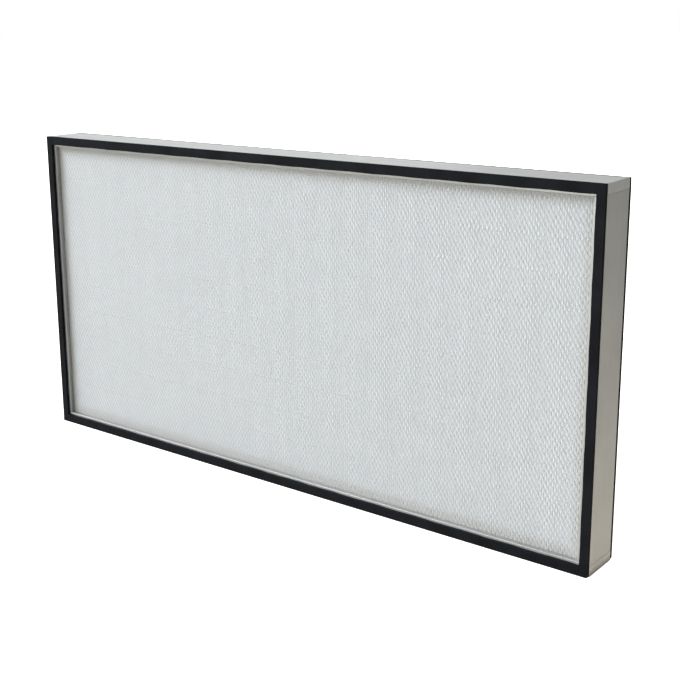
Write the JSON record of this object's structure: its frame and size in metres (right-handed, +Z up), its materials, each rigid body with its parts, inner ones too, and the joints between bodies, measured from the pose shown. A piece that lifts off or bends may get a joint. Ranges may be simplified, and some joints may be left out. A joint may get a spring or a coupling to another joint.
{
  "type": "cleanroom air filter panel",
  "caption": "Flat pleated air filter panel in a box-section aluminium frame, with mesh guards and a black sponge gasket on both faces.",
  "frame": {"origin": "centre of the bottom of the panel, on the surface it stands on", "axes": "+X along the long edge, +Y from the front face to the rear face, +Z up the short edge"},
  "size_m": [1.22, 0.087, 0.61],
  "materials": {
    "anodised_frame": "natural anodised extrusion, satin",
    "key_aluminium": "mill-finished extrusion",
    "white_mesh": "white powder coat on expanded metal",
    "fibre_media": "matte glass-fibre paper",
    "hot_melt": "set hot-melt glue",
    "sealant": "cured polyurethane",
    "sponge_gasket": "closed-cell sponge, matte"
  },
  "bodies": {
    "root": {"frame_top": "anodised_frame", "frame_bottom": "anodised_frame", "frame_left": "anodised_frame", "frame_right": "anodised_frame", "corner_key_top_left": "key_aluminium", "corner_key_top_right": "key_aluminium", "corner_key_bottom_left": "key_aluminium", "corner_key_bottom_right": "key_aluminium", "guard_front": "white_mesh", "guard_rear": "white_mesh", "media_pack": "fibre_media", "separator_beads_front": "hot_melt", "separator_beads_rear": "hot_melt", "potting_top": "sealant", "potting_bottom": "sealant", "potting_left": "sealant", "potting_right": "sealant", "gasket_front_top": "sponge_gasket", "gasket_front_bottom": "sponge_gasket", "gasket_front_left": "sponge_gasket", "gasket_front_right": "sponge_gasket", "gasket_rear_top": "sponge_gasket", "gasket_rear_bottom": "sponge_gasket", "gasket_rear_left": "sponge_gasket", "gasket_rear_right": "sponge_gasket"}
  },
  "joints": []
}
